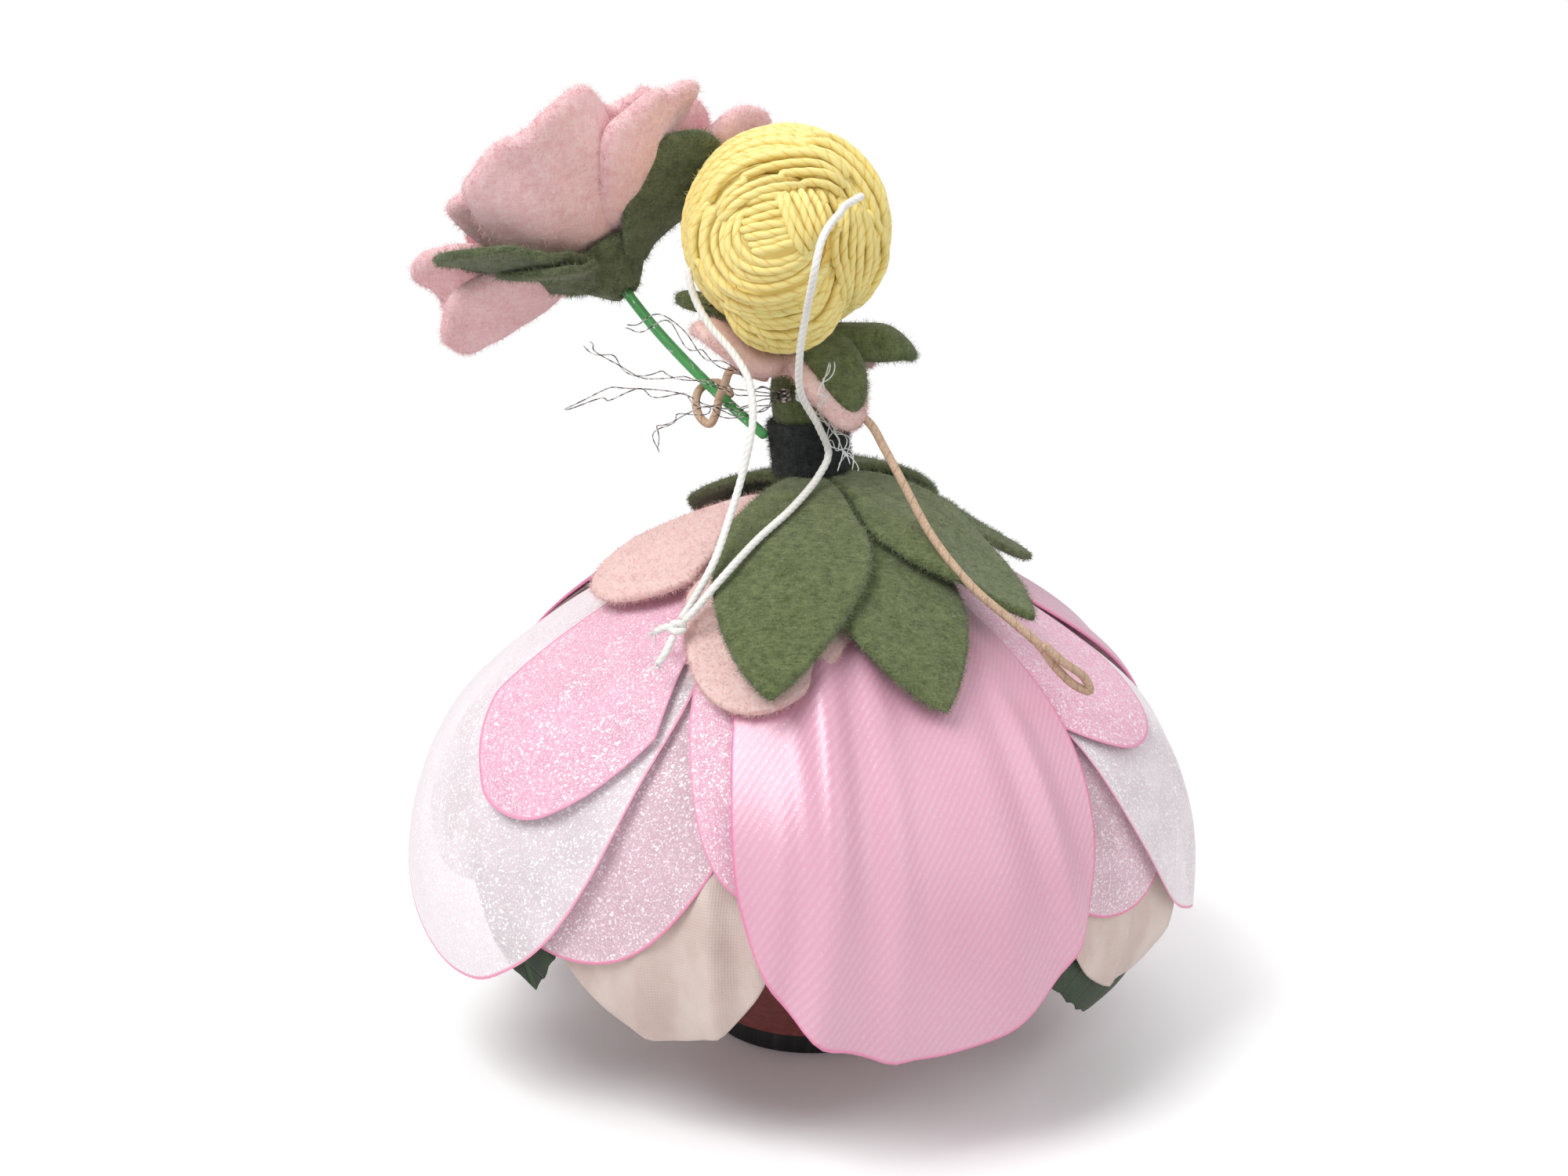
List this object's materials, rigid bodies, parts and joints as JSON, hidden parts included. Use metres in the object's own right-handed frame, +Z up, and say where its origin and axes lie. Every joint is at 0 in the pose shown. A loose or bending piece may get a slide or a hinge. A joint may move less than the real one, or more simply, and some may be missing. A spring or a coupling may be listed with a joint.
{
  "type": "fairy ornament",
  "caption": "Standing fairy ornament with a thread-wound wooden head, felt and cloth petal skirt, wire arms and a felt rose held over one shoulder.",
  "frame": {"origin": "centre of the round base disc's underside", "axes": "+Z up through the body; the figure faces +Y and its back is towards -Y; its right hand is on +X and the rose on -X"},
  "size_m": [0.0954, 0.0918, 0.1175],
  "materials": {
    "painted_wood": "dusky red paint on top, black on the edge",
    "bare_wood": "bare turned wood",
    "plain_wire": "bare wire",
    "green_felt": "wool felt",
    "pink_felt": "wool felt",
    "black_felt": "wool felt",
    "rose_felt": "wool felt",
    "hair_thread": "mercerised cotton thread, soft sheen",
    "white_cord": "twisted cotton cord",
    "pink_satin": "satin ribbon cloth",
    "organza": "sparkling organza, part transparent",
    "organza_pink": "pink sparkling organza, part transparent",
    "cream_silk": "crinkled silk",
    "dark_silk": "serrated silk leaf",
    "paper_wire": "wire wrapped in tan paper",
    "green_wire": "wire wrapped in green tape",
    "metal_thread": "metallic thread"
  },
  "bodies": {
    "figure": {"base_disc": "painted_wood", "bodice": "green_felt", "body_dowel": "bare_wood", "bun_core": "hair_thread", "bun_winding": "hair_thread", "collar_green": "green_felt", "collar_pink": "pink_felt", "cord_knot": "white_cord", "cord_strand_left": "white_cord", "cord_strand_right": "white_cord", "cream_petal_1": "cream_silk", "cream_petal_2": "cream_silk", "cream_petal_3": "cream_silk", "cream_petal_4": "cream_silk", "felt_leaf_lower_1": "green_felt", "felt_leaf_lower_2": "green_felt", "felt_leaf_lower_3": "green_felt", "felt_leaf_upper_1": "green_felt", "felt_leaf_upper_2": "green_felt", "felt_leaf_upper_3": "green_felt", "felt_petal_1": "pink_felt", "felt_petal_2": "pink_felt", "felt_petal_3": "pink_felt", "hair_cap": "hair_thread", "hair_winding": "hair_thread", "head_ball": "bare_wood", "inner_satin_petal_1": "pink_satin", "inner_satin_petal_2": "pink_satin", "left_arm": "paper_wire", "organza_petal_lower_1": "organza", "organza_petal_lower_2": "organza", "organza_petal_lower_3": "organza", "organza_petal_small_1": "organza_pink", "organza_petal_small_2": "organza_pink", "organza_petal_small_3": "organza_pink", "organza_petal_upper_1": "organza", "organza_petal_upper_2": "organza", "organza_petal_upper_3": "organza", "right_shoulder_wire": "paper_wire", "satin_petal_1": "pink_satin", "satin_petal_2": "pink_satin", "satin_petal_3": "pink_satin", "silk_leaf_1": "dark_silk", "silk_leaf_2": "dark_silk", "silk_leaf_3": "dark_silk", "skirt_washer": "bare_wood", "spine_wire": "plain_wire", "stem_lower": "green_wire", "torso_bead": "bare_wood", "waist_band": "black_felt", "wing_threads_left": "metal_thread", "wing_threads_right": "metal_thread"},
    "arm": {"right_arm": "paper_wire"},
    "rose": {"stem_upper": "green_wire", "rose_calyx": "green_felt", "rose_petals_outer": "rose_felt", "rose_petals_middle": "rose_felt", "rose_petals_inner": "rose_felt", "rose_bud": "rose_felt"}
  },
  "joints": [
    {"name": "right_arm_raise", "type": "hinge", "parent": "figure", "child": "arm", "pos_m": [0.00645, -0.0076, 0.07787], "axis": [0, -1, 0], "range_deg": [0, 50]},
    {"name": "rose_tilt", "type": "hinge", "parent": "figure", "child": "rose", "pos_m": [-0.01509, 0.0011, 0.08317], "axis": [0, -1, 0], "range_deg": [0, 20]}
  ]
}
